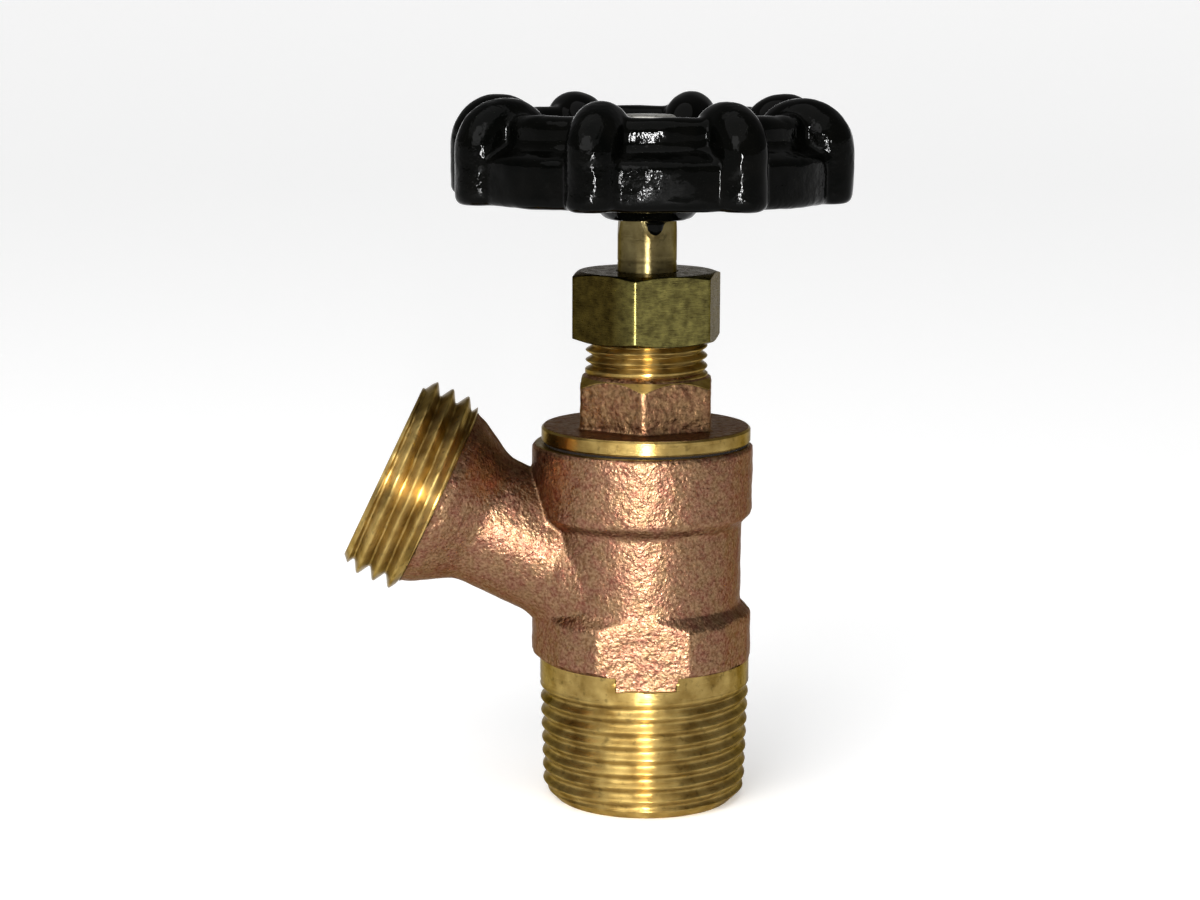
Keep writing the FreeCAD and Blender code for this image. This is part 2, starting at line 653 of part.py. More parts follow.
def make_stem():
    """The stem: washer cup, screw thread, shank and tapered square."""
    body = new_body("stem")
    outer = new_sketch(body, "stem_profile")
    groove_height = f"({NUT_TOP} + stem_groove_rise)"
    draw_outline(outer, [
        ("0", CUP_CEILING),
        ("cup_radius - cup_wall", CUP_CEILING),
        ("cup_radius - cup_wall", CUP_RIM),
        ("cup_radius", CUP_RIM),
        ("cup_radius", CUP_TOP),
        ("stem_neck_radius", CUP_TOP),
        ("stem_neck_radius", STEM_THREAD_BOTTOM),
        ("stem_thread_radius", STEM_THREAD_BOTTOM),
        ("stem_thread_radius", STEM_THREAD_TOP),
        ("stem_radius", STEM_THREAD_TOP),
        ("stem_radius", f"{groove_height} - stem_groove_width / 2"),
        ("stem_radius - stem_groove_depth", groove_height),
        ("stem_radius", f"{groove_height} + stem_groove_width / 2"),
        ("stem_radius", STEM_TOP),
        ("0", STEM_TOP),
    ])
    revolve(body, "stem_turned", outer)

    # tapered square: one flat, repeated
    flat = new_sketch(body, "square_flat_profile", swing="square_turn")
    draw_outline(flat, [
        ("stem_radius", SQUARE_START),
        ("stem_radius + square_reach", SQUARE_START),
        ("stem_radius + square_reach", STEM_TOP),
        (square_half(STEM_TOP), STEM_TOP),
    ])
    cut = pocket(body, "square_flat", flat, "2 * stem_radius", midplane=True)
    polar_pattern(body, "tapered_square", [cut], 4)

    # holes for the two screws
    lower = new_sketch(body, "washer_screw_hole_profile")
    draw_rectangle(lower, "0", CUP_CEILING, "washer_screw_radius + running_clearance",
                   f"{WASHER_SCREW_TOP} + screw_hole_spare")
    groove(body, "washer_screw_hole", lower)
    upper = new_sketch(body, "wheel_screw_hole_profile")
    draw_rectangle(upper, "0", f"{PLATE_TOP} - wheel_screw_length - screw_hole_spare",
                   "wheel_screw_radius + running_clearance", STEM_TOP)
    groove(body, "wheel_screw_hole", upper)

    # screw thread, in step with the bonnet's
    section = new_sketch(body, "stem_thread_section")
    root = "(stem_thread_radius - stem_thread_depth)"
    reach = "(stem_thread_radius + stem_thread_clearance)"
    half_root = "(stem_lead / 2 - stem_thread_flat / 2 - stem_thread_depth * stem_thread_slope)"
    half_reach = f"({half_root} + ({reach} - {root}) * stem_thread_slope)"
    draw_outline(section, [
        (root, f"{STEM_THREAD_START} - {half_root}"),
        (reach, f"{STEM_THREAD_START} - {half_reach}"),
        (reach, f"{STEM_THREAD_START} + {half_reach}"),
        (root, f"{STEM_THREAD_START} + {half_root}"),
    ])
    cut_helix(body, "stem_thread", section, "stem_lead",
              f"{STEM_THREAD_TOP} + stem_lead - {STEM_THREAD_START}")
    return body


def square_half(height):
    """Half the tapered square's width at a height."""
    return f"(stem_radius - square_taper * ({height} - {SQUARE_START}))"


def make_screw(name, radius, head_radius, head_start, head_end, tip, turn):
    """A slotted screw on the valve axis; its head ends away from its tip."""
    body = new_body(name)
    profile = new_sketch(body, f"{name}_profile")
    draw_outline(profile, [
        ("0", tip),
        (radius, tip),
        (radius, head_start),
        (head_radius, head_start),
        (head_radius, head_end, "screw_head_round"),
        ("0", head_end),
    ])
    revolve(body, f"{name}_turned", profile)
    slot = new_sketch(body, f"{name}_slot_outline", "XY_Plane", lift=head_end, turn=turn)
    past_head = f"({head_radius} + slot_width)"
    draw_rectangle(slot, f"-{past_head}", "-slot_width / 2", past_head, "slot_width / 2")
    pocket(body, f"{name}_slot", slot, "slot_depth", reverse=value(head_end) < value(head_start))
    return body


def make_gland():
    """The packing gland: a sleeve that enters the stuffing box, and a flange under the nut."""
    body = new_body("packing_gland")
    profile = new_sketch(body, "gland_profile")
    draw_outline(profile, [
        (SHANK_BORE_RADIUS, GLAND_BOTTOM),
        ("box_radius - running_clearance", GLAND_BOTTOM),
        ("box_radius - running_clearance", GLAND_FLANGE_BOTTOM),
        ("gland_flange_radius", GLAND_FLANGE_BOTTOM),
        ("gland_flange_radius", GLAND_TOP),
        (SHANK_BORE_RADIUS, GLAND_TOP),
    ])
    revolve(body, "gland_turned", profile)
    return body


def make_packing_nut():
    """The hexagonal packing nut, with chamfered ends."""
    body = new_body("packing_nut")
    corner = "(nut_width / 2 / cos(30))"
    chamfer = f"(({corner} - nut_chamfer_radius) * nut_chamfer_slope)"
    profile = new_sketch(body, "nut_profile")
    draw_outline(profile, [
        (NUT_BORE_RADIUS, NUT_BOTTOM),
        ("nut_chamfer_radius", NUT_BOTTOM),
        (corner, f"{NUT_BOTTOM} + {chamfer}"),
        (corner, f"{NUT_TOP} - {chamfer}"),
        ("nut_chamfer_radius", NUT_TOP),
        (SHANK_BORE_RADIUS, NUT_TOP),
        (SHANK_BORE_RADIUS, GLAND_TOP),
        (NUT_BORE_RADIUS, GLAND_TOP),
    ])
    revolve(body, "nut_turned", profile)
    flats = new_sketch(body, "nut_hex_outline", "XY_Plane", lift=NUT_BOTTOM)
    draw_circle(flats, "nut_width")
    draw_outline(flats, hexagon("nut_width", "nut_turn"))
    pocket(body, "nut_hex", flats, "nut_height", reverse=True)
    return body


def make_handwheel():
    """The cast handwheel: hub, web with windows, and a rim with finger lobes."""
    body = new_body("handwheel")
    bind(body, "Placement.Rotation.Angle", "wheel_turn")
    rim_top = f"({WHEEL_BOTTOM} + wheel_rim_height)"
    profile = new_sketch(body, "wheel_profile")
    draw_outline(profile, [
        ("0", HUB_BOTTOM),
        ("hub_bottom_radius", HUB_BOTTOM, "hub_round"),
        ("hub_radius", f"{HUB_BOTTOM} + hub_edge_height", "hub_round"),
        ("hub_radius", WHEEL_BOTTOM),
        ("wheel_rim_radius", WHEEL_BOTTOM, "wheel_round"),
        ("wheel_rim_radius", f"{WHEEL_BOTTOM} + wheel_band_height", "wheel_round"),
        ("wheel_rim_waist", f"{WHEEL_BOTTOM} + wheel_waist_height", "wheel_round"),
        ("wheel_rim_waist", rim_top, "wheel_top_round"),
        ("wheel_rim_inner_radius", rim_top, "wheel_top_round"),
        ("wheel_rim_inner_radius", WEB_TOP, "wheel_round"),
        ("hub_radius", WEB_TOP, "hub_round"),
        ("hub_radius", HUB_TOP),
        ("0", HUB_TOP),
    ])
    revolve(body, "wheel_turned", profile)

    # one finger lobe, its nose turned upright and its disc on edge, and repeated
    nose = new_sketch(body, "lobe_nose_profile", across="lobe_reach - lobe_half_width")
    draw_outline(nose, [
        ("0", WHEEL_BOTTOM),
        ("lobe_half_width", WHEEL_BOTTOM, "wheel_round"),
        ("lobe_half_width", LOBE_CENTRE),
        ("0", LOBE_CENTRE),
    ])
    lobe_nose = revolve(body, "lobe_nose", nose)
    disc = new_sketch(body, "lobe_disc_profile", "XY_Plane", across="lobe_reach - lobe_disc_radius",
                      lift=LOBE_CENTRE)
    draw_disc(disc)
    lobe_disc = revolve(body, "lobe_disc", disc)
    polar_pattern(body, "lobes", [lobe_nose, lobe_disc], LOBES)

    # hollow underside between the hub and the rim, and the windows between the spokes
    hollow = new_sketch(body, "hollow_profile")
    draw_outline(hollow, [
        ("hub_radius", WHEEL_BOTTOM),
        ("wheel_rim_radius - wheel_rim_wall", WHEEL_BOTTOM),
        ("wheel_rim_radius - wheel_rim_wall", WEB_BOTTOM, "wheel_round"),
        ("hub_radius", WEB_BOTTOM, "wheel_round"),
    ])
    groove(body, "hollow", hollow)
    window = new_sketch(body, "window_outline", "XY_Plane", lift=WEB_BOTTOM)
    draw_window(window)
    cut = pocket(body, "window", window, "wheel_rim_height", reverse=True)
    polar_pattern(body, "windows", [cut], SPOKES)

    # tapered square hole that fits the stem
    turn = "square_turn - wheel_turn"
    lower = new_sketch(body, "square_hole_lower", "XY_Plane", lift=HUB_BOTTOM, turn=turn)
    draw_square(lower, f"({square_half(HUB_BOTTOM)} + square_clearance)")
    upper = new_sketch(body, "square_hole_upper", "XY_Plane", lift=HUB_TOP, turn=turn)
    draw_square(upper, f"({square_half(HUB_TOP)} + square_clearance)")
    hole = body.newObject("PartDesign::SubtractiveLoft", "square_hole")
    hole.Profile = lower
    hole.Sections = [upper]
    hole.Ruled = True
    return body


def draw_square(sketch, half):
    draw_rectangle(sketch, f"-{half}", f"-{half}", half, half)


def draw_disc(sketch):
    """Half the section of a disc with a fully rounded edge, beside the sketch's vertical axis."""
    inner = "lobe_disc_radius - lobe_half_width"
    side = value("lobe_half_width")
    across = value(inner)
    lower = Vector(across, -side, 0)
    upper = Vector(across, side, 0)
    lower_axis = Vector(0, -side, 0)
    upper_axis = Vector(0, side, 0)
    edge = sketch.addGeometry(Part.Arc(lower, Vector(across + side, 0, 0), upper))
    top = sketch.addGeometry(Part.LineSegment(upper, upper_axis))
    axis = sketch.addGeometry(Part.LineSegment(upper_axis, lower_axis))
    bottom = sketch.addGeometry(Part.LineSegment(lower_axis, lower))
    sketch.addConstraint(Sketcher.Constraint("Tangent", edge, 2, top, 1))
    sketch.addConstraint(Sketcher.Constraint("Coincident", top, 2, axis, 1))
    sketch.addConstraint(Sketcher.Constraint("Coincident", axis, 2, bottom, 1))
    sketch.addConstraint(Sketcher.Constraint("Tangent", bottom, 2, edge, 1))
    sketch.addConstraint(Sketcher.Constraint("PointOnObject", axis, 1, -2))
    sketch.addConstraint(Sketcher.Constraint("PointOnObject", axis, 2, -2))
    sketch.addConstraint(Sketcher.Constraint("Horizontal", top))
    fix_point(sketch, edge, 3, inner, "0")
    index = sketch.addConstraint(Sketcher.Constraint("Radius", edge, side))
    bind(sketch, f"Constraints[{index}]", "lobe_half_width")


def draw_window(sketch):
    """A sector round the X axis between two spokes, its sides parallel to the spokes."""
    half_turn = 180 / SPOKES
    arcs = []
    for radius in ("window_inner_radius", "window_outer_radius"):
        angle = f"({half_turn} deg - asin(spoke_width / 2 / {radius}))"
        across = value(f"{radius} * cos{angle}")
        side = value(f"{radius} * sin{angle}")
        start = Vector(across, -side, 0)
        end = Vector(across, side, 0)
        arc = sketch.addGeometry(Part.Arc(start, Vector(value(radius), 0, 0), end))
        sketch.addConstraint(Sketcher.Constraint("Coincident", arc, 3, -1, 1))
        index = sketch.addConstraint(Sketcher.Constraint("Radius", arc, value(radius)))
        bind(sketch, f"Constraints[{index}]", radius)
        for point, sign in ((1, "-"), (2, "")):
            text = f"{sign}{radius} * sin{angle}"
            index = sketch.addConstraint(Sketcher.Constraint("DistanceY", arc, point, value(text)))
            bind(sketch, f"Constraints[{index}]", text)
        arcs.append((arc, start, end))
    (inner, inner_start, inner_end), (outer, outer_start, outer_end) = arcs
    lower = sketch.addGeometry(Part.LineSegment(inner_start, outer_start))
    upper = sketch.addGeometry(Part.LineSegment(inner_end, outer_end))
    for line, point in ((lower, 1), (upper, 2)):
        sketch.addConstraint(Sketcher.Constraint("Coincident", line, 1, inner, point))
        sketch.addConstraint(Sketcher.Constraint("Coincident", line, 2, outer, point))


def main():
    snug_stem = "(stem_radius + running_clearance)"
    snug_box = "(box_radius - running_clearance)"
    packing_middle = f"({PACKING_BOTTOM} + packing_ring_thickness)"
    bodies = [
        make_body(),
        ring("bonnet_gasket", BODY_THREAD_RADIUS, "bonnet_flange_radius - gasket_overlap",
             "body_height", FLANGE_BOTTOM),
        make_bonnet(),
        make_stem(),
        ring("seat_washer", "washer_hole_radius", WASHER_RADIUS, WASHER_BOTTOM, WASHER_TOP),
        make_screw("seat_washer_screw", "washer_screw_radius", "washer_screw_head_radius",
                   "seat_height", "(seat_height - washer_screw_head_height)", WASHER_SCREW_TOP, "0"),
        ring("packing_washer", SHANK_BORE_RADIUS, snug_box, BOX_FLOOR, PACKING_BOTTOM),
        ring("packing_ring_lower", snug_stem, snug_box, PACKING_BOTTOM, packing_middle),
        ring("packing_ring_upper", snug_stem, snug_box, packing_middle, GLAND_BOTTOM),
        make_gland(),
        make_packing_nut(),
        make_handwheel(),
        ring("index_plate", "wheel_screw_radius + running_clearance", "plate_radius", HUB_TOP,
             PLATE_TOP),
        make_screw("handwheel_screw", "wheel_screw_radius", "wheel_screw_head_radius", PLATE_TOP,
                   f"({PLATE_TOP} + wheel_screw_head_height)", f"({PLATE_TOP} - wheel_screw_length)",
                   "wheel_turn"),
    ]
    doc.recompute()
    for item in doc.Objects:
        if "Invalid" in item.State or "Error" in item.State:
            raise RuntimeError(f"{item.Name} failed: {item.State}")
    os.makedirs("parts", exist_ok=True)
    for body in bodies:
        shape = body.Shape
        if shape.isNull() or not shape.isValid():
            raise RuntimeError(f"{body.Label} has no valid shape")
        shape.exportStep(f"parts/{body.Label}.step")
        print(body.Label, round(shape.Volume, 1), len(shape.Solids))


main()
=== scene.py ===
import math

import bmesh
import bpy
from mathutils import Matrix, Vector, noise

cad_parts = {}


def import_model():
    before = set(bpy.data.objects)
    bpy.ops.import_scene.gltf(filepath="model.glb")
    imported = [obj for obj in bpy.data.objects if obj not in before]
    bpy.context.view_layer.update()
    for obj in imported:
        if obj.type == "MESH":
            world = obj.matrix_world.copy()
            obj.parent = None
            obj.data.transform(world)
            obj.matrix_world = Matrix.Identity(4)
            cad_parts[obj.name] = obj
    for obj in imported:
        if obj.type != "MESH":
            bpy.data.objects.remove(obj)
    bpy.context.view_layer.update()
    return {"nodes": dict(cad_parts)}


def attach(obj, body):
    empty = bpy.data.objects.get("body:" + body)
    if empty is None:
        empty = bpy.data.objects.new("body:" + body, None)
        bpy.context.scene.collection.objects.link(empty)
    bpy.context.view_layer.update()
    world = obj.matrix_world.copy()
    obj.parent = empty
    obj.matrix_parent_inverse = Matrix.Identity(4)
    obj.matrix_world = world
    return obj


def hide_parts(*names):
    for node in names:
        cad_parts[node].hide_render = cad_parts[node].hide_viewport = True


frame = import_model()

# Boiler drain valve. Frame: metres, +Z up along the valve axis, the spout points to -X.
# Lengths below are in millimetres and angles in degrees, as on a drawing. MM turns lengths
# into metres.
MM = 0.001

# camera, at the photograph's viewing angle
CAMERA_PLACE = (-5.85, -326.0, 101.3)
CAMERA_PITCH = 9.76
CAMERA_ROLL = 0.23
CAMERA_LENS = 77.7
CAMERA_NEAR = 10.0
SENSOR_WIDTH = 36.0

# shape of a 60 degree thread, as shares of its pitch, and the rounding of its edges
THREAD_DEPTH = 0.68
THREAD_ROOT = 0.10
THREAD_ROUND = 0.09
FLANK = math.tan(math.radians(30))
# rows of faces to a pitch
THREAD_ROWS = 16
NECK_ROWS = 12

# wear of a thread's crests: its depth, and how many lumps of it there are to a turn
WEAR_DEPTH = 0.02
WEAR_LUMPS = 12

# pipe thread, worn to a wave, and the turned band above it
INLET_PITCH = 1.8143
INLET_CREST_RADIUS = 13.02
INLET_TAPER = math.tan(math.radians(1.79))
INLET_FACE_RADIUS = 11.5
INLET_CHAMFER = 1.55
INLET_THREAD_TOP = 15.6
INLET_GROOVE_START = -1.51
INLET_GROOVE_DEPTH = 0.66
INLET_WAVE_POWER = 0.8
INLET_FULL_TURNS = 8
INLET_FADE_TURNS = 0.7
INLET_BORE_RADIUS = 8.6
BAND_TOP = 18.45
BAND_RADIUS = 13.48
BAND_WALL = 1.0
BAND_LEAST_WALL = 0.05
CREST_OVER_BAND = 0.06
UNDERCUT_SLOPE = 0.8

# tab of the hexagon's front flat, which the turning left with a ragged edge
FRONT_FLAT = 12.7
TAB_BOTTOM = 16.85
TAB_HALF_WIDTH = 3.8
TAB_RAGGED = 0.3
TAB_LUMPS = 8
TAB_EDGE_SLOPE = 3.0

# casting
TRUNK_REACH = 16.0
BODY_TOP = 46.25
BORE_REACH = 11.75
SEAM_HEIGHT = 0.1
SEAM_WIDTH = 0.4

# spout, by places along its axis
SPOUT_RISE = 25.4
SPOUT_AXIS_HEIGHT = 26.5
SPOUT_LENGTH = 37.1
SPOUT_REACH = 20.0
NECK_END = 29.3
NECK_END_RADIUS = 11.6
NECK_WALL_MIDDLE = 7.4
HOSE_PITCH = 2.2087
HOSE_CREST_RADIUS = 13.3
HOSE_THREAD_START = 29.95
HOSE_GROOVE_START = 27.93
MOUTH_CHAMFER = 1.45
MOUTH_FACE_RADIUS = 11.7
MOUTH_BORE_RADIUS = 9.6
MOUTH_BORE_START = 28.1
MOUTH_CONE_START = 24.1
MOUTH_WALL_MIDDLE = 10.5
MOUTH_EDGE = 0.3

# bonnet
FLANGE_TOP = 48.5
FLANGE_RIM = 13.1
FLANGE_RELIEF_SHARE = 0.3
FLANGE_RELIEF_FADE = 0.5
BLANK_RIM = 0.1
BLANK_DEPTH = 1.2
BLANK_RISE = 1.0
BONNET_CAST_DEPTH = 0.5
BONNET_CAST_RADIUS = 7.2
BONNET_HEX_TOP = 54.9
BONNET_HEX_CORNER = 9.41
BONNET_HEX_CHAMFER = 1.3
BONNET_HEX_CHAMFER_HEIGHT = 1.15
BONNET_TURNED_RADIUS = 7.4
NECK_RADIUS = 7.8
NECK_PITCH = 1.27
NECK_GROOVE_START = 55.65
NECK_RUN_IN_SLOPE = 0.5
NECK_TOP = 64.6
NECK_CHAMFER = 0.6
NECK_CORE_RADIUS = 6.9
NECK_WALL = 0.5
NECK_SINK = 0.4
NECK_REACH = 10.0

# packing nut
NUT_CORNER_LENGTH = 3.0
NUT_CORNER_ROUND = 0.4
NUT_EDGE_ROUND = 0.12

# drip of enamel on the stem, from the middle of the underside of the wheel's hub
DRIP_PLACE = (0.9, -3.7, -0.35)
DRIP_RADII = (1.25, 0.75, 1.6)

# relief of the cast skins: layers of (depth, lump size, seed)
BODY_RELIEF = ((0.07, 3.2, 1.0), (0.05, 1.3, 5.0))
BONNET_RELIEF = ((0.08, 1.6, 3.0), (0.07, 0.8, 7.0))
WHEEL_RELIEF = ((0.12, 4.0, 2.0), (0.05, 1.8, 4.0))
WHEEL_SINK = 0.08

# meshes of the castings
BODY_VOXEL = 0.3
BONNET_VOXEL = 0.2
WHEEL_VOXEL = 0.3

# how far a casting's skin stands over the CAD solid, how far it tucks under the band beside it,
# and the overlap of pieces that meet
SKIN = 0.05
TUCK = 0.03
LAP = 0.06
# how much further the first cut of the casting goes, and how near counts as on a face
PRECUT_INLET = 0.6
PRECUT_SPOUT = 0.35
NEAR = 0.01
# a step too small to see
HAIR = 0.02
# a radius that counts as on the axis, a depth below the valve, and a height above it
AXIS_RADIUS = 0.001
BELOW = 30.0
ABOVE = 70.0

# floor that rises in a cove, and the light of the world
FLOOR_RADIUS = 1200.0
FLOOR_SIDES = 96
COVE_RADIUS = 4900.0
COVE_HEIGHT = 620.0
COVE_STEPS = 24
FLOOR_WHITE = 0.93
FLOOR_GLOW = 0.21
WORLD_LIGHT = 0.24

# lamps
SUN_AZIMUTH = -26
SUN_ELEVATION = 60
SUN_SPREAD = 80
SUN_STRENGTH = 1.8
KEY_PLACE = (0, -600, 80)
KEY_TARGET = (0, 0, 45)
KEY_SIZE = (18, 140)
KEY_WATTS = 5.0
FILL_PLACE = (-240, -480, 340)
FILL_TARGET = (-10, 0, 40)
FILL_SIZE = (340, 340)
FILL_WATTS = 1.7


# Meshes

def link(name, data):
    """A new object in the scene."""
    piece = bpy.data.objects.new(name, data)
    bpy.context.scene.collection.objects.link(piece)
    return piece


def made_from(work, name):
    """A new object from a mesh under construction."""
    mesh = bpy.data.meshes.new(name)
    work.to_mesh(mesh)
    work.free()
    return link(name, mesh)


def cad_copy(node, name):
    """A new object with a welded copy of a CAD node's mesh."""
    work = bmesh.new()
    work.from_mesh(frame["nodes"][node].data)
    bmesh.ops.remove_doubles(work, verts=work.verts, dist=0.001 * MM)
    piece = made_from(work, name)
    attributes = piece.data.attributes
    for leftover in ("custom_normal", "sharp_edge", "sharp_face"):
        if leftover in attributes:
            attributes.remove(attributes[leftover])
    return piece


def all_round(steps):
    """Angles at even steps round a full turn."""
    return [2 * math.pi * step / steps for step in range(steps)]


def circle(radius, height, steps):
    """Points round Z, counterclockwise from +X."""
    return [(radius * math.cos(angle), radius * math.sin(angle), height) for angle in all_round(steps)]


def add_row(work, points):
    """Adds points in millimetres to a mesh under construction."""
    return [work.verts.new(Vector(point) * MM) for point in points]


def join_rows(work, row, following):
    """A band of faces between two closed rows of as many points."""
    for step in range(len(row)):
        after = (step + 1) % len(row)
        work.faces.new((row[step], row[after], following[after], following[step]))


def from_rings(name, rings, place):
    """A closed surface through rings of points in millimetres, the last ring joined to the first."""
    work = bmesh.new()
    rows = [add_row(work, ring) for ring in rings]
    for row, following in zip(rows, rows[1:] + rows[:1]):
        join_rows(work, row, following)
    bmesh.ops.recalc_face_normals(work, faces=work.faces)
    work.transform(place)
    return made_from(work, name)


def turned(name, profile, place=Matrix(), steps=180):
    """A solid turned round its own Z axis from (radius, height) corners."""
    rings = [circle(max(radius, AXIS_RADIUS), height, steps) for radius, height in profile]
    return from_rings(name, rings, place)


def disc(name, radius, bottom, top, place=Matrix()):
    """A plain round solid between two heights."""
    return turned(name, [(0, bottom), (radius, bottom), (radius, top), (0, top)], place)


def blob(name, centre, radii, steps=24):
    """A closed egg round a centre, with its own radius along each axis, in millimetres."""
    work = bmesh.new()
    bmesh.ops.create_uvsphere(work, u_segments=steps, v_segments=steps // 2, radius=1)
    place = Matrix.Translation(Vector(centre) * MM) @ Matrix.Diagonal((*(Vector(radii) * MM), 1))
    work.transform(place)
    return made_from(work, name)


def subdivided(profile, spacing):
    """The corners of a profile with further points between them, no more than a spacing apart."""
    points = []
    for (radius, height), (next_radius, next_height) in zip(profile, profile[1:]):
        count = max(1, math.ceil(math.hypot(next_radius - radius, next_height - height) / spacing))
        for index in range(count):
            share = index / count
            point = (radius + (next_radius - radius) * share, height + (next_height - height) * share)
            points.append(point)
    return points + [profile[-1]]


def worn(angle, height):
    """How far wear raises or lowers a thread there."""
    spot = Vector((WEAR_LUMPS * math.cos(angle), WEAR_LUMPS * math.sin(angle), height))
    return WEAR_DEPTH * noise.noise(spot)


def threaded_ring(name, outside, inside, limit, spacing, place=Matrix(), steps=240):
    """A ring turned round Z; limit(angle, height) gives the radius that its outside keeps within."""
    rings = []
    for radius, height in subdivided(outside, spacing):
        ring = []
        for angle in all_round(steps):
            reach = min(radius, limit(angle, height) + worn(angle, height))
            ring.append((reach * math.cos(angle), reach * math.sin(angle), height))
        rings.append(ring)
    rings += [circle(radius, height, steps) for radius, height in inside]
    return from_rings(name, rings, place)


def groove(angle, height, pitch, start):
    """Depth of a right-hand thread's groove below the crest; it starts at angle 0 and start."""
    turn = angle / (2 * math.pi)
    index = round((height - start) / pitch - turn)
    if index < 0:
        return 0.0
    centre = start + (index + turn) * pitch
    off = max(0.0, abs(height - centre) - THREAD_ROOT * pitch / 2)
    depth = THREAD_DEPTH * pitch - off / FLANK
    return (depth + math.hypot(depth, 2 * THREAD_ROUND)) / 2


def wave_groove(angle, height, pitch, start, depth, power):
    """Depth of a worn right-hand thread below its crest: a wave along the axis."""
    turn = angle / (2 * math.pi)
    wave = math.cos(2 * math.pi * ((height - start) / pitch - turn))
    return depth * (0.5 + 0.5 * wave) ** power


def spout_place():
    """Stands a piece turned round +Z on the spout's axis."""
    swing = Matrix.Rotation(math.radians(SPOUT_RISE - 90), 4, "Y")
    return Matrix.Translation((0, 0, SPOUT_AXIS_HEIGHT * MM)) @ swing


def bake(piece):
    """Applies a piece's modifiers to its mesh."""
    graph = bpy.context.evaluated_depsgraph_get()
    mesh = bpy.data.meshes.new_from_object(piece.evaluated_get(graph), depsgraph=graph)
    piece.modifiers.clear()
    piece.data = mesh


def combine(piece, tool, operation):
    """Cuts a tool solid out of a piece, adds it, or keeps only what the two share."""
    change = piece.modifiers.new("combine", "BOOLEAN")
    change.operation = operation
    change.solver = "MANIFOLD"
    change.object = tool
    bake(piece)
    bpy.data.objects.remove(tool)


def remesh(piece, voxel):
    """Rebuilds a surface from even cells of a size in millimetres, which softens its edges."""
    change = piece.modifiers.new("remesh", "REMESH")
    change.mode = "VOXEL"
    change.voxel_size = voxel * MM
    bake(piece)


def relax(piece, rounds):
    """Evens out the steps that the cells leave."""
    change = piece.modifiers.new("relax", "SMOOTH")
    change.iterations = rounds
    change.factor = 0.5
    bake(piece)


def merge_flat_faces(piece):
    """Joins triangles that lie in one plane into larger faces."""
    work = bmesh.new()
    work.from_mesh(piece.data)
    bmesh.ops.dissolve_limit(work, angle_limit=math.radians(0.5), verts=work.verts, edges=work.edges)
    work.to_mesh(piece.data)
    work.free()


def round_corners(piece, width):
    """Rounds the long upright edges of a nut."""
    work = bmesh.new()
    work.from_mesh(piece.data)
    upright = [
        edge for edge in work.edges
        if abs(edge.verts[0].co.z - edge.verts[1].co.z) > NUT_CORNER_LENGTH * MM
        and edge.calc_face_angle(0) > math.radians(30)
    ]
    bmesh.ops.bevel(work, geom=upright, offset=width * MM, segments=4, profile=0.5, affect="EDGES")
    work.to_mesh(piece.data)
    work.free()


def round_edges(piece, width, segments=3, angle=30):
    """Rounds the edges that are sharper than an angle, and keeps the faces beside them flat."""
    change = piece.modifiers.new("round", "BEVEL")
    change.width = width * MM
    change.segments = segments
    change.limit_method = "ANGLE"
    change.angle_limit = math.radians(angle)
    bake(piece)
    piece.data.shade_smooth()
    weigh = piece.modifiers.new("weigh", "WEIGHTED_NORMAL")
    weigh.weight = 100
    bake(piece)


def relief(point, layers):
    """Height of a cast skin from layers of (depth, lump size, seed), in millimetres."""
    return sum(
        depth * noise.noise(point / (size * MM) + Vector((seed, seed, seed)))
        for depth, size, seed in layers
    )


def displace(piece, height):
    """Moves each vertex along its normal by height(point, normal), in millimetres."""
    mesh = piece.data
    normals = [vertex.normal.copy() for vertex in mesh.vertices]
    for vertex, normal in zip(mesh.vertices, normals):
        vertex.co += normal * height(vertex.co, normal) * MM
    mesh.update()


def shade(piece, angle=35):
    """Smooth shading, with edges sharper than an angle kept crisp."""
    piece.data.shade_smooth()
    piece.data.set_sharp_from_angle(angle=math.radians(angle))


def dress(piece, *materials):
    """Gives a piece its materials, in the order of its slots."""
    piece.data.materials.clear()
    for material in materials:
        piece.data.materials.append(material)


def stand_for(piece, node, body):
    """Shows a piece in a CAD node's place, on the body that carries it."""
    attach(piece, body)
    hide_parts(node)


# Materials

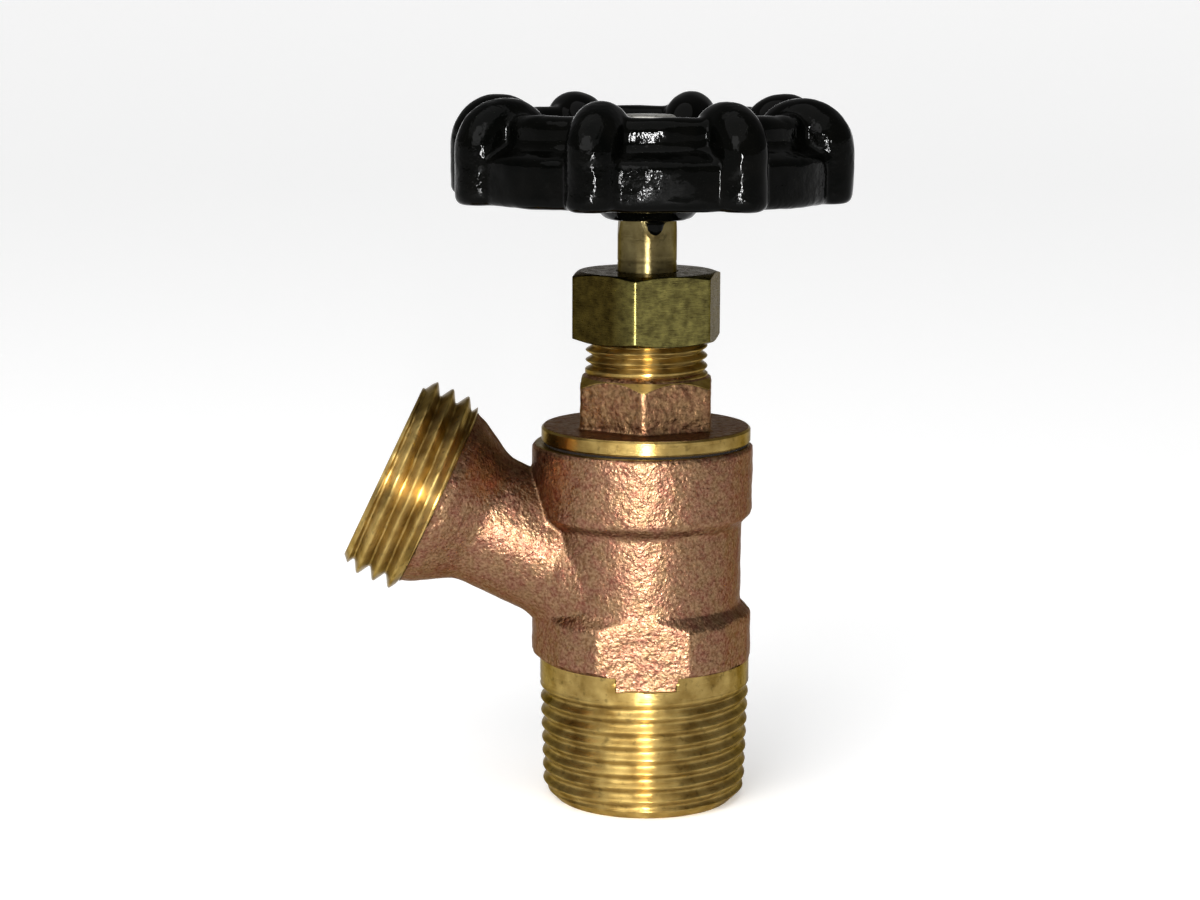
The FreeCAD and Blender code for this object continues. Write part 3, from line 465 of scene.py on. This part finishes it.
class Material:
    """A node material with short calls for its texture nodes, in the CAD frame's coordinates."""

    def __init__(self, name, metallic, roughness):
        self.made = bpy.data.materials.new(name)
        self.made.use_nodes = True
        self.tree = self.made.node_tree
        self.shader = self.tree.nodes["Principled BSDF"]
        self.shader.inputs["Metallic"].default_value = metallic
        self.shader.inputs["Roughness"].default_value = roughness
        self.place = self.tree.nodes.new("ShaderNodeTexCoord").outputs["Object"]

    def join(self, source, target):
        self.tree.links.new(source, target)

    def stretch(self, scale):
        """The coordinates scaled by a different factor along each axis."""
        node = self.tree.nodes.new("ShaderNodeMapping")
        node.inputs["Scale"].default_value = scale
        self.join(self.place, node.inputs["Vector"])
        return node.outputs["Vector"]

    def vector(self, operation, first, second=None, output="Vector"):
        """A vector operation on sockets and constants."""
        node = self.tree.nodes.new("ShaderNodeVectorMath")
        node.operation = operation
        for socket, value in zip(node.inputs, (first, second)):
            if isinstance(value, tuple):
                socket.default_value = value
            elif value is not None:
                self.join(value, socket)
        return node.outputs[output]

    def turned_round(self, lean, height):
        """Puts the coordinates on a lathe's axis, which crosses +Z at a height and leans towards -X."""
        centre = (0, 0, height * MM)
        axis = (-math.sin(lean), 0, math.cos(lean))
        around = self.vector("CROSS_PRODUCT", axis, self.vector("SUBTRACT", self.place, centre))
        marks = self.tree.nodes.new("ShaderNodeVectorTransform")
        marks.vector_type = "VECTOR"
        marks.convert_from = "OBJECT"
        marks.convert_to = "WORLD"
        self.join(around, marks.inputs["Vector"])
        self.join(marks.outputs["Vector"], self.shader.inputs["Tangent"])
        node = self.tree.nodes.new("ShaderNodeMapping")
        node.vector_type = "TEXTURE"
        node.inputs["Location"].default_value = centre
        node.inputs["Rotation"].default_value = (0, -lean, 0)
        self.join(self.place, node.inputs["Vector"])
        self.place = node.outputs["Vector"]

    def rings(self, around, along):
        """Coordinates that change slowly round the axis, and fast along it and away from it."""
        reach = self.vector("LENGTH", self.vector("MULTIPLY", self.place, (1, 1, 0)), output="Value")
        outwards = self.vector("MULTIPLY", reach, (along, 0, 0))
        return self.vector("ADD", self.stretch((around, around, along)), outwards)

    def across(self, low, high):
        """From 0 to 1 between two places along X, in millimetres."""
        parts = self.tree.nodes.new("ShaderNodeSeparateXYZ")
        self.join(self.place, parts.inputs["Vector"])
        node = self.tree.nodes.new("ShaderNodeMapRange")
        node.inputs["From Min"].default_value = low * MM
        node.inputs["From Max"].default_value = high * MM
        self.join(parts.outputs["X"], node.inputs["Value"])
        return node.outputs["Result"]

    def grain(self, size, detail=2.0, place=None):
        """Noise from 0 to 1 with a feature size in millimetres."""
        node = self.tree.nodes.new("ShaderNodeTexNoise")
        node.inputs["Scale"].default_value = 1 / (size * MM)
        node.inputs["Detail"].default_value = detail
        self.join(place or self.place, node.inputs["Vector"])
        return node.outputs["Fac"]

    def ramp(self, source, *stops):
        """Maps a value to a colour or grey through (position, colour) stops."""
        node = self.tree.nodes.new("ShaderNodeValToRGB")
        elements = node.color_ramp.elements
        while len(elements) < len(stops):
            elements.new(0.5)
        for element, (position, colour) in zip(elements, stops):
            element.position = position
            element.color = (*colour, 1) if isinstance(colour, tuple) else (colour, colour, colour, 1)
        self.join(source, node.inputs["Fac"])
        return node.outputs["Color"]

    def mix(self, share, first, second, kind="MIX"):
        """Two colours mixed by a share, or blended in another way."""
        node = self.tree.nodes.new("ShaderNodeMixRGB")
        node.blend_type = kind
        node.inputs[0].default_value = share
        self.join(first, node.inputs[1])
        self.join(second, node.inputs[2])
        return node.outputs["Color"]

    def colour(self, source):
        self.join(source, self.shader.inputs["Base Color"])

    def roughness(self, source):
        self.join(source, self.shader.inputs["Roughness"])

    def edge_tint(self, red, green, blue):
        """What a metal's grazing reflections are tinted with."""
        self.shader.inputs["Specular Tint"].default_value = (red, green, blue, 1)

    def bump(self, *layers):
        """Bump from (height, depth in millimetres) layers."""
        below = None
        for height, depth in layers:
            node = self.tree.nodes.new("ShaderNodeBump")
            node.inputs["Strength"].default_value = 1.0
            node.inputs["Distance"].default_value = depth * MM
            self.join(height, node.inputs["Height"])
            if below is not None:
                self.join(below, node.inputs["Normal"])
            below = node.outputs["Normal"]
        self.join(below, self.shader.inputs["Normal"])


def srgb(red, green, blue):
    """A screen colour of 0 to 255 as the linear colour that a shader takes."""
    def linear(share):
        return share / 12.92 if share <= 0.04045 else ((share + 0.055) / 1.055) ** 2.4
    return tuple(linear(channel / 255) for channel in (red, green, blue))


def cast_bronze(name, grain_size, grain_depth, red, yellow, dark, light):
    """Sand-cast bronze: granular, with bright and dark grains over cloudy patches."""
    skin = Material(name, metallic=1.0, roughness=0.4)
    skin.edge_tint(0.5, 0.42, 0.36)
    tints = skin.ramp(skin.grain(1.6, 5.0), (0.36, red), (0.62, yellow))
    specks = skin.ramp(skin.grain(grain_size * 0.8, 2.0), (0.36, dark), (0.62, light))
    skin.colour(skin.mix(0.5, tints, specks))
    skin.roughness(skin.ramp(skin.grain(grain_size * 1.5), (0.3, 0.27), (0.7, 0.47)))
    skin.bump(
        (skin.grain(grain_size * 2.6, 2.0), grain_depth * 2.2),
        (skin.grain(grain_size, 2.5), grain_depth * 2.8),
    )
    return skin.made


def turned_brass(name, dark, light, lean=0.0, height=0.0):
    """Turned brass: fine rings round the axis, cloudy tarnished patches and small dark stains."""
    metal = Material(name, metallic=1.0, roughness=0.32)
    metal.turned_round(lean, height)
    metal.edge_tint(0.5, 0.46, 0.38)
    metal.shader.inputs["Anisotropic"].default_value = 0.95
    metal.shader.inputs["Anisotropic Rotation"].default_value = 0.25
    clouds = metal.ramp(metal.grain(2.5, 4.0), (0.3, dark), (0.7, light))
    stains = metal.ramp(metal.grain(0.9, 3.0), (0.28, 0.6), (0.42, 1.0))
    metal.colour(metal.mix(1.0, clouds, stains, "MULTIPLY"))
    rings = metal.grain(1.0, 2.0, metal.rings(0.15, 9.0))
    metal.roughness(metal.ramp(rings, (0.3, 0.272), (0.7, 0.384)))
    metal.bump((metal.grain(1.2, 2.0), 0.01), (rings, 0.03))
    return metal.made


def milled_brass(name, dark, light):
    """Milled bar: mottled, with fine scratches and shallow dents, and painted shade on its left side.
    """
    metal = Material(name, metallic=1.0, roughness=0.24)
    metal.edge_tint(0.38, 0.34, 0.28)
    mottle = metal.ramp(metal.grain(1.1, 4.0), (0.32, dark), (0.68, light))
    scratches = metal.grain(1.0, 3.0, metal.stretch((1.2, 1.2, 7.0)))
    marked = metal.mix(0.25, mottle, metal.ramp(scratches, (0.4, dark), (0.6, light)))
    # painted shade: the colour darkens towards -X, so the nut's left side looks turned away from the
    # light
    painted_left_shade = metal.ramp(metal.across(-4.5, -1.5), (0.0, (0.36, 0.3, 0.22)), (1.0, 1.0))
    metal.colour(metal.mix(1.0, marked, painted_left_shade, "MULTIPLY"))
    metal.roughness(metal.ramp(scratches, (0.3, 0.192), (0.7, 0.36)))
    metal.bump((metal.grain(1.6, 2.0), 0.05), (scratches, 0.012))
    return metal.made


def enamelled(name):
    """Thick glossy black enamel, in places over a rough casting."""
    paint = Material(name, metallic=0.0, roughness=0.08)
    paint.shader.inputs["Specular IOR Level"].default_value = 0.045
    dark = (0.0003, 0.0004, 0.0003)
    light = (0.001, 0.001, 0.0008)
    paint.colour(paint.ramp(paint.grain(3.0), (0.3, dark), (0.7, light)))
    paint.roughness(paint.ramp(paint.grain(2.0), (0.35, 0.02), (0.7, 0.08)))
    rough_places = paint.ramp(paint.grain(14.0, 1.0), (0.45, 0.0), (0.6, 1.0))
    pits = paint.mix(1.0, rough_places, paint.grain(1.0, 3.0), "MULTIPLY")
    paint.bump((paint.grain(4.0, 1.0), 0.15), (pits, 0.12))
    return paint.made


def plain(name, metallic, roughness, dark, light, size, depth):
    """A surface with fine mottling in colour, gloss and height."""
    made = Material(name, metallic, roughness)
    made.shader.inputs["Specular IOR Level"].default_value = 0.15
    spots = made.grain(size, 3.0)
    made.colour(made.ramp(spots, (0.3, dark), (0.7, light)))
    made.roughness(made.ramp(spots, (0.3, roughness * 0.85), (0.7, roughness * 1.15)))
    made.bump((spots, depth))
    return made.made


# Pieces

def inlet_cutter(name, height):
    """What is turned away under the hexagon: the band, and the cone above it."""
    top = BAND_TOP + height
    inner = BAND_RADIUS - SKIN - TUCK
    return turned(name, [
        (0, -BELOW),
        (TRUNK_REACH, -BELOW),
        (TRUNK_REACH, top + (TRUNK_REACH - BAND_RADIUS) * UNDERCUT_SLOPE),
        (inner, top + (inner - BAND_RADIUS) * UNDERCUT_SLOPE),
        (inner, TAB_BOTTOM - TAB_RAGGED + height),
        (0, TAB_BOTTOM - TAB_RAGGED + height),
    ])


def is_machined(point):
    """Whether a place on the body is in its bores or on the turned top face."""
    x, y, z = point / MM
    from_axis = math.hypot(x, y)
    if from_axis < BORE_REACH or (z > BODY_TOP - NEAR and from_axis < TRUNK_REACH):
        return True
    lean = math.radians(SPOUT_RISE)
    along = -x * math.cos(lean) + (z - SPOUT_AXIS_HEIGHT) * math.sin(lean)
    rise = x * math.sin(lean) + (z - SPOUT_AXIS_HEIGHT) * math.cos(lean)
    share = (along - MOUTH_CONE_START) / (MOUTH_BORE_START - MOUTH_CONE_START)
    wall_middle = NECK_WALL_MIDDLE + (MOUTH_WALL_MIDDLE - NECK_WALL_MIDDLE) * min(1.0, max(0.0, share))
    return math.hypot(rise, y) < wall_middle and along > 0


def body_skin(point, normal):
    """How far the casting stands over the solid: rough, with a parting seam in the spout's plane."""
    if is_machined(point):
        return 0.0
    seam = SEAM_HEIGHT * math.exp(-(point.y / MM / SEAM_WIDTH) ** 2)
    return SKIN + relief(point, BODY_RELIEF) + seam * (1 - abs(normal.y))


def body_casting(cast, machined):
    piece = cad_copy("body", "body_casting")
    spout_start = NECK_END + PRECUT_SPOUT
    combine(piece, inlet_cutter("precut", -PRECUT_INLET), "DIFFERENCE")
    combine(piece, disc("precut", SPOUT_REACH, spout_start, ABOVE, spout_place()), "DIFFERENCE")
    remesh(piece, BODY_VOXEL)
    relax(piece, 2)
    displace(piece, body_skin)
    combine(piece, inlet_cutter("cut", LAP), "DIFFERENCE")
    combine(piece, disc("cut", SPOUT_REACH, NECK_END, ABOVE, spout_place()), "DIFFERENCE")
    combine(piece, disc("cut", TRUNK_REACH, BODY_TOP, ABOVE), "DIFFERENCE")
    dress(piece, cast, machined)
    shade(piece, 50)
    for face in piece.data.polygons:
        face.material_index = 1 if is_machined(face.center) else 0
    stand_for(piece, "body", "valve_body")


def inlet_limit(angle, height):
    """Radius of the pipe thread, the band above it and the ragged edge of the casting's tab."""
    around = Vector((TAB_LUMPS * math.cos(angle), TAB_LUMPS * math.sin(angle), height))
    ragged = TAB_RAGGED * noise.noise(around)
    if height > TAB_BOTTOM + ragged / 2:
        past_tab = abs(BAND_RADIUS * math.cos(angle)) - TAB_HALF_WIDTH - ragged
        edge_radius = math.hypot(FRONT_FLAT + SKIN, TAB_HALF_WIDTH)
        return max(BAND_RADIUS - BAND_WALL + BAND_LEAST_WALL, edge_radius + TAB_EDGE_SLOPE * past_tab)
    if height > INLET_THREAD_TOP:
        return BAND_RADIUS
    past_full = height / INLET_PITCH - INLET_FULL_TURNS
    fade = min(1.0, max(0.0, 1 - past_full / INLET_FADE_TURNS))
    depth = wave_groove(
        angle, height, INLET_PITCH, INLET_GROOVE_START, INLET_GROOVE_DEPTH, INLET_WAVE_POWER,
    )
    crest = min(BAND_RADIUS + CREST_OVER_BAND, INLET_CREST_RADIUS + INLET_TAPER * height)
    return crest - fade * depth


def inlet_thread(machined):
    chamfer_top = INLET_CREST_RADIUS + INLET_TAPER * INLET_CHAMFER
    thread_top = INLET_CREST_RADIUS + INLET_TAPER * INLET_THREAD_TOP
    outside = [
        (INLET_FACE_RADIUS, 0),
        (chamfer_top, INLET_CHAMFER),
        (thread_top, INLET_THREAD_TOP),
        (BAND_RADIUS, INLET_THREAD_TOP + HAIR),
        (BAND_RADIUS, BAND_TOP + LAP),
    ]
    inside = [
        (BAND_RADIUS - BAND_WALL, BAND_TOP + LAP),
        (BAND_RADIUS - BAND_WALL, TAB_BOTTOM - 2 * TAB_RAGGED),
        (INLET_BORE_RADIUS, TAB_BOTTOM - 2 * TAB_RAGGED),
        (INLET_BORE_RADIUS, 0),
    ]
    piece = threaded_ring("inlet_thread", outside, inside, inlet_limit, INLET_PITCH / THREAD_ROWS)
    dress(piece, machined)
    shade(piece, 22)
    stand_for(piece, "body", "valve_body")


def hose_thread(machined):
    def limit(angle, height):
        return HOSE_CREST_RADIUS - groove(angle, height, HOSE_PITCH, HOSE_GROOVE_START)

    outside = [
        (NECK_END_RADIUS, NECK_END - LAP),
        (NECK_END_RADIUS, NECK_END),
        (HOSE_CREST_RADIUS, HOSE_THREAD_START),
        (HOSE_CREST_RADIUS, SPOUT_LENGTH - MOUTH_CHAMFER),
        (MOUTH_FACE_RADIUS, SPOUT_LENGTH),
    ]
    inside = [
        (MOUTH_BORE_RADIUS + MOUTH_EDGE, SPOUT_LENGTH),
        (MOUTH_BORE_RADIUS, SPOUT_LENGTH - MOUTH_EDGE),
        (MOUTH_BORE_RADIUS, NECK_END - LAP),
    ]
    piece = threaded_ring("hose_thread", outside, inside, limit, HOSE_PITCH / THREAD_ROWS,
                          spout_place())
    dress(piece, machined)
    shade(piece, 40)
    stand_for(piece, "body", "valve_body")


def bonnet_zone(name, bottom, rim, drop, inner):
    """The ring that holds the bonnet's cast hexagon and flange top, up to the turned chamfer."""
    slope = BONNET_HEX_CHAMFER_HEIGHT / BONNET_HEX_CHAMFER
    corner_top = BONNET_HEX_TOP - BONNET_HEX_CHAMFER_HEIGHT - drop
    rim_top = corner_top - slope * (rim - BONNET_HEX_CORNER)
    inner_top = corner_top + slope * (BONNET_HEX_CORNER - inner)
    return turned(name, [(inner, bottom), (rim, bottom), (rim, rim_top), (inner, inner_top)])


def bonnet_skin(point, normal):
    """How far the cast bonnet stands over the solid: rough on the hexagon, smoother on the flange."""
    on_hexagon = min(1.0, max(0.0, (point.z / MM - FLANGE_TOP) / FLANGE_RELIEF_FADE))
    share = FLANGE_RELIEF_SHARE + (1 - FLANGE_RELIEF_SHARE) * on_hexagon
    return SKIN + relief(point, BONNET_RELIEF) * share


def bonnet_casting(cast):
    piece = cad_copy("bonnet", "bonnet_casting")
    blank_bottom = FLANGE_TOP - BLANK_DEPTH
    blank_top = BONNET_HEX_TOP + BLANK_RISE
    combine(piece, disc("blank", FLANGE_RIM + BLANK_RIM, blank_bottom, blank_top), "INTERSECT")
    remesh(piece, BONNET_VOXEL)
    relax(piece, 3)
    displace(piece, bonnet_skin)
    kept = bonnet_zone("keep", FLANGE_TOP - BONNET_CAST_DEPTH, FLANGE_RIM, LAP, BONNET_CAST_RADIUS)
    combine(piece, kept, "INTERSECT")
    dress(piece, cast)
    shade(piece, 50)
    stand_for(piece, "bonnet", "valve_body")


def bonnet_turned(machined):
    piece = cad_copy("bonnet", "bonnet_turned")
    cast_zone = bonnet_zone("cut", FLANGE_TOP - LAP, FLANGE_RIM - LAP, 2 * LAP, BONNET_TURNED_RADIUS)
    combine(piece, cast_zone, "DIFFERENCE")
    neck = turned("cut", [
        (NECK_CORE_RADIUS, BONNET_HEX_TOP),
        (NECK_REACH, BONNET_HEX_TOP),
        (NECK_REACH, ABOVE),
        (NECK_CORE_RADIUS, ABOVE),
    ])
    combine(piece, neck, "DIFFERENCE")
    dress(piece, machined)
    shade(piece)
    stand_for(piece, "bonnet", "valve_body")


def bonnet_neck(machined):
    def limit(angle, height):
        run_in = max(0.0, NECK_GROOVE_START + NECK_PITCH / 2 - height)
        depth = groove(angle, height, NECK_PITCH, NECK_GROOVE_START - NECK_PITCH)
        return NECK_RADIUS - max(0.0, depth - run_in * NECK_RUN_IN_SLOPE)

    bottom = BONNET_HEX_TOP - NECK_SINK
    top = NECK_TOP - HAIR
    outside = [
        (NECK_RADIUS, bottom),
        (NECK_RADIUS, NECK_TOP - NECK_CHAMFER),
        (NECK_RADIUS - NECK_CHAMFER, top),
    ]
    inside = [(NECK_CORE_RADIUS - NECK_WALL, top), (NECK_CORE_RADIUS - NECK_WALL, bottom)]
    piece = threaded_ring("bonnet_neck", outside, inside, limit, NECK_PITCH / NECK_ROWS, steps=180)
    dress(piece, machined)
    shade(piece, 40)
    stand_for(piece, "bonnet", "valve_body")


def packing_nut(metal):
    piece = cad_copy("packing_nut", "packing_nut_body")
    merge_flat_faces(piece)
    round_corners(piece, NUT_CORNER_ROUND)
    round_edges(piece, NUT_EDGE_ROUND)
    dress(piece, metal)
    stand_for(piece, "packing_nut", "valve_body")


def wheel_skin(point, normal):
    """How far the enamel stands over the solid: smooth lumps, a little sunk."""
    return relief(point, WHEEL_RELIEF) - WHEEL_SINK


def handwheel(enamel):
    piece = cad_copy("handwheel", "handwheel_casting")
    hub_bottom = min(vertex.co.z for vertex in piece.data.vertices) / MM
    x, y, z = DRIP_PLACE
    combine(piece, blob("drip", (x, y, hub_bottom + z), DRIP_RADII), "UNION")
    remesh(piece, WHEEL_VOXEL)
    relax(piece, 6)
    displace(piece, wheel_skin)
    dress(piece, enamel)
    shade(piece, 60)
    stand_for(piece, "handwheel", "spindle")


def carried_over(slot, material, *nodes):
    """CAD nodes that keep their own meshes and get their finish."""
    for node in nodes:
        piece = frame["nodes"][node]
        for index in range(len(piece.data.materials)):
            piece.data.materials[index] = material


def cast_and_turned_pieces():
    """The body and the bonnet: castings, and what is turned on them."""
    cast = cast_bronze("cast_bronze_skin", 0.45, 0.05, srgb(112, 66, 53), srgb(120, 93, 62),
                       srgb(90, 58, 45), srgb(150, 120, 95))
    bonnet_cast = cast_bronze("bonnet_bronze_skin", 0.6, 0.06, srgb(108, 70, 52), srgb(122, 96, 64),
                              srgb(86, 58, 42), srgb(148, 116, 86))
    pipe_brass = turned_brass("pipe_brass", srgb(126, 100, 50), srgb(180, 154, 92))
    hose_brass = turned_brass("hose_brass", srgb(136, 108, 56), srgb(196, 168, 104),
                              math.radians(90 - SPOUT_RISE), SPOUT_AXIS_HEIGHT)
    body_casting(cast, pipe_brass)
    inlet_thread(pipe_brass)
    hose_thread(hose_brass)
    bonnet_casting(bonnet_cast)
    bonnet_turned(pipe_brass)
    bonnet_neck(pipe_brass)


def nut_and_wheel():
    packing_nut(milled_brass("nut_brass_skin", srgb(62, 56, 30), srgb(110, 103, 57)))
    handwheel(enamelled("black_enamel_skin"))


def inner_pieces():
    """The stem, the packing, the washers and the screws."""
    brass = turned_brass("stem_brass", srgb(82, 70, 42), srgb(128, 116, 78))
    aluminium = plain("aluminium_skin", 1.0, 0.35, srgb(190, 190, 188), srgb(222, 222, 218), 0.8, 0.01)
    steel = plain("steel_skin", 1.0, 0.3, srgb(170, 168, 160), srgb(205, 203, 196), 0.6, 0.01)
    rubber = plain("rubber_skin", 0.0, 0.7, (0.02, 0.02, 0.02), (0.045, 0.045, 0.045), 0.5, 0.02)
    yarn = plain("yarn_skin", 0.2, 0.6, (0.05, 0.05, 0.05), (0.13, 0.13, 0.13), 0.4, 0.05)
    fibre = plain("fibre_skin", 0.0, 0.8, (0.006, 0.005, 0.004), (0.016, 0.012, 0.01), 0.3, 0.03)
    carried_over("turned_brass", brass, "stem", "seat_washer_screw", "packing_washer", "packing_gland")
    carried_over("plate_aluminium", aluminium, "index_plate")
    carried_over("screw_steel", steel, "handwheel_screw")
    carried_over("seat_rubber", rubber, "seat_washer")
    carried_over("packing_yarn", yarn, "packing_ring_lower", "packing_ring_upper")
    carried_over("gasket_fibre", fibre, "bonnet_gasket")


# Stage

def floor_paint():
    """White paint that looks a little brighter than its light, but keeps its shadows."""
    paint = Material("floor_paint", 0.0, 0.8)
    paint.shader.inputs["Base Color"].default_value = (FLOOR_WHITE, FLOOR_WHITE, FLOOR_WHITE, 1)
    paint.shader.inputs["Emission Color"].default_value = (1, 1, 1, 1)
    rays = paint.tree.nodes.new("ShaderNodeLightPath").outputs
    seen = None
    for kind in ("Is Camera Ray", "Is Glossy Ray", "Is Transmission Ray"):
        node = paint.tree.nodes.new("ShaderNodeMath")
        node.operation = "MULTIPLY_ADD"
        node.inputs[1].default_value = FLOOR_GLOW
        node.inputs[2].default_value = 0.0
        paint.join(rays[kind], node.inputs[0])
        if seen is not None:
            paint.join(seen, node.inputs[2])
        seen = node.outputs[0]
    paint.join(seen, paint.shader.inputs["Emission Strength"])
    return paint.made


def floor():
    """A pale floor that rises in a smooth cove and hides the horizon."""
    work = bmesh.new()
    rows = []
    for step in range(COVE_STEPS + 1):
        share = step / COVE_STEPS
        radius = FLOOR_RADIUS + (COVE_RADIUS - FLOOR_RADIUS) * share
        rows.append(add_row(work, circle(radius, COVE_HEIGHT * share ** 2, FLOOR_SIDES)))
    work.faces.new(rows[0])
    for row, following in zip(rows, rows[1:]):
        join_rows(work, following, row)
    for face in work.faces:
        face.smooth = True
    ground = made_from(work, "floor")
    dress(ground, floor_paint())


def area_lamp(name, place, target, size, watts):
    light = bpy.data.lights.new(name, "AREA")
    light.shape = "RECTANGLE"
    light.size = size[0] * MM
    light.size_y = size[1] * MM
    light.energy = watts
    lamp = link(name, light)
    lamp.location = Vector(place) * MM
    lamp.rotation_euler = (Vector(target) * MM - lamp.location).to_track_quat("-Z", "Y").to_euler()


def sun():
    light = bpy.data.lights.new("sun", "SUN")
    light.angle = math.radians(SUN_SPREAD)
    light.energy = SUN_STRENGTH
    lamp = link("sun", light)
    lamp.rotation_euler = (math.radians(90 - SUN_ELEVATION), 0, math.radians(SUN_AZIMUTH))


def world():
    made = bpy.data.worlds.new("studio")
    made.use_nodes = True
    background = made.node_tree.nodes["Background"]
    background.inputs["Color"].default_value = (1, 1, 1, 1)
    background.inputs["Strength"].default_value = WORLD_LIGHT
    bpy.context.scene.world = made


def camera():
    data = bpy.data.cameras.new("camera")
    data.lens = CAMERA_LENS
    data.sensor_width = SENSOR_WIDTH
    data.clip_start = CAMERA_NEAR * MM
    made = link("camera", data)
    tilt = Matrix.Rotation(math.radians(90 - CAMERA_PITCH), 4, "X")
    roll = Matrix.Rotation(math.radians(CAMERA_ROLL), 4, "Z")
    made.matrix_world = Matrix.Translation(Vector(CAMERA_PLACE) * MM) @ tilt @ roll
    bpy.context.scene.camera = made


def main():
    camera()
    cast_and_turned_pieces()
    nut_and_wheel()
    inner_pieces()
    floor()
    world()
    sun()
    area_lamp("key", KEY_PLACE, KEY_TARGET, KEY_SIZE, KEY_WATTS)
    area_lamp("fill", FILL_PLACE, FILL_TARGET, FILL_SIZE, FILL_WATTS)


main()
scene = bpy.context.scene
scene.view_settings.view_transform = "Standard"
